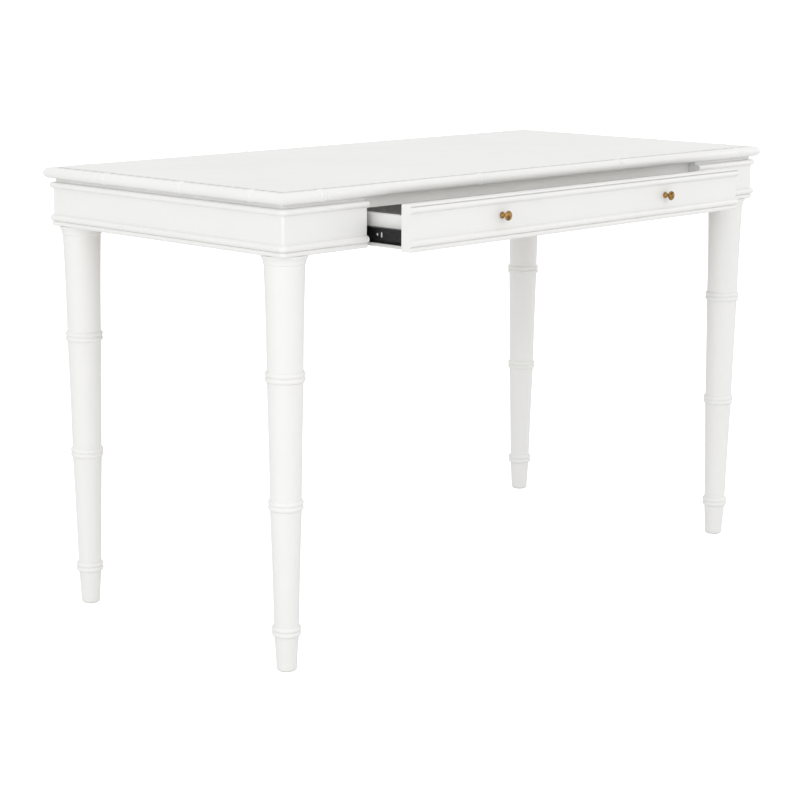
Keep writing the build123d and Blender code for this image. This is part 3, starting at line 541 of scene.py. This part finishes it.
# ================================================================ knobs
def knob_profile():
    """Round knob on a flared foot; (radius, height) from the drawer front outward."""
    points = [(0, 0), (5.3, 0), (5.5, 0.3), (5.5, 1.1), (5.3, 1.5)]
    points += through(points[-1], (4.1, 3.0), (2.8, 4.8), 10)
    points += through(points[-1], (2.6, 6.8), (3.4, 9.0), 10)
    points += through(points[-1], (5.8, 10.6), (7.5, 12.2), 10)
    points += through(points[-1], (7.9, 13.4), (7.3, 14.6), 10)
    points += through(points[-1], (6.3, 15.25), (5.2, 15.05), 8)
    points += through(points[-1], (2.8, 16.85), (0, 17.5), 12)
    return points


for side in ("left", "right"):
    low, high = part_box(f"knob_{side}")
    seat = Vector(((low.x + high.x) / 2, high.y, (low.z + high.z) / 2)) / MM
    mesh = lathe(knob_profile(), seat, OUTWARD["front"], Vector((1, 0, 0)), segments=64)
    finish_piece(f"turned_knob_{side}", mesh, brass, "drawer", [f"knob_{side}"],
                 sharp=45.0)

# ================================================================ CAD nodes that stay
BY_SLOT = {"lacquer_top": white_top, "lacquer": white_x, "bare_wood": bare_x,
           "drawer_board": board, "antique_brass": brass, "black_steel": black_steel,
           "zinc_steel": zinc_steel, "ball_steel": ball_steel, "glide_plastic": nylon}
BY_NODE = {"spacer_strip_left": white_y, "spacer_strip_right": white_y,
           "drawer_side_left": white_y, "drawer_side_right": white_y,
           "end_cleat_left": bare_y, "end_cleat_right": bare_y,
           "runner_wall_left": bare_y, "runner_wall_right": bare_y,
           "corner_block_front_left": bare_z, "corner_block_front_right": bare_z,
           "corner_block_back_left": bare_z, "corner_block_back_right": bare_z}
for subpart in frame["record"]["subparts"]:
    node = frame["nodes"][subpart["node"]]
    for material_slot in node.material_slots:
        material_slot.material = BY_NODE.get(subpart["node"], BY_SLOT[subpart["material_slot"]])

# ================================================================ floor, light and camera
floor_mesh = bpy.data.meshes.new("floor")
FLOOR_REACH = 90.0
FLOOR_GLOW = 0.60
WORLD_LIGHT = 0.87
floor_mesh.from_pydata([(x * FLOOR_REACH, y * FLOOR_REACH, 0)
                        for x, y in ((-1, -1), (1, -1), (1, 1), (-1, 1))], [], [(0, 1, 2, 3)])
floor = bpy.data.objects.new("floor", floor_mesh)
bpy.context.scene.collection.objects.link(floor)
paper, tree, shader = new_material("studio_floor")
shader.inputs["Base Color"].default_value = (0.84, 0.84, 0.84, 1)
shader.inputs["Roughness"].default_value = 0.9
shader.inputs["Specular IOR Level"].default_value = 0.0
shader.inputs["Emission Color"].default_value = (1, 1, 1, 1)
eye = tree.nodes.new("ShaderNodeLightPath")
lit = tree.nodes.new("ShaderNodeMath")
lit.operation = "MULTIPLY"
lit.inputs[1].default_value = FLOOR_GLOW
tree.links.new(eye.outputs["Is Camera Ray"], lit.inputs[0])
tree.links.new(lit.outputs["Value"], shader.inputs["Emission Strength"])
floor_mesh.materials.append(paper)

world = bpy.data.worlds.new("studio")
bpy.context.scene.world = world
world.use_nodes = True
sky = world.node_tree
background = sky.nodes["Background"]
background.inputs["Color"].default_value = (1, 1, 1, 1)
background.inputs["Strength"].default_value = WORLD_LIGHT
seen = sky.nodes.new("ShaderNodeBackground")
seen.inputs["Color"].default_value = (1, 1, 1, 1)
seen.inputs["Strength"].default_value = 1.0
path = sky.nodes.new("ShaderNodeLightPath")
choice = sky.nodes.new("ShaderNodeMixShader")
sky.links.new(path.outputs["Is Camera Ray"], choice.inputs["Fac"])
sky.links.new(background.outputs["Background"], choice.inputs[1])
sky.links.new(seen.outputs["Background"], choice.inputs[2])
sky.links.new(choice.outputs["Shader"], sky.nodes["World Output"].inputs["Surface"])


def softbox(name, place, size, power, target=(0, 0, 0.5)):
    light = bpy.data.lights.new(name, "AREA")
    light.shape = "RECTANGLE"
    light.size, light.size_y = size
    light.energy = power
    lamp = bpy.data.objects.new(name, light)
    lamp.location = place
    lamp.rotation_euler = (Vector(target) - Vector(place)).to_track_quat("-Z", "Y").to_euler()
    bpy.context.scene.collection.objects.link(lamp)


softbox("key_left", (-4.4, -0.9, 1.2), (3.0, 1.6), 27.0)
softbox("fill_front", (-1.2, -4.2, 2.4), (3.0, 2.0), 23.0)
softbox("fill_near", (-3.3, -3.3, 1.5), (2.0, 2.0), 8.0)
softbox("fill_right", (2.4, -1.5, 1.2), (1.4, 1.4), 5.0)
softbox("overhead", (0.2, 0.2, 3.4), (3.2, 2.4), 8.0)

CAMERA_FROM_DESK = Vector((-2.6205, -2.4684, 1.0659))
CAMERA_YAW = -45.11
CAMERA_DOWN = 11.39
CAMERA_ROLL = 0.14
camera_data = bpy.data.cameras.new("camera")
camera_data.sensor_width = 36.0
camera_data.lens = 91.51
camera_data.shift_x = 0.0423
camera_data.shift_y = -0.0219
camera_data.clip_end = 400.0
camera = bpy.data.objects.new("camera", camera_data)
camera.location = CENTRE + CAMERA_FROM_DESK
camera.rotation_euler = (Matrix.Rotation(math.radians(CAMERA_YAW), 3, "Z")
                         @ Matrix.Rotation(math.radians(90 - CAMERA_DOWN), 3, "X")
                         @ Matrix.Rotation(math.radians(CAMERA_ROLL), 3, "Z")).to_euler()
bpy.context.scene.collection.objects.link(camera)
bpy.context.scene.camera = camera
bpy.context.scene.view_settings.view_transform = "Standard"
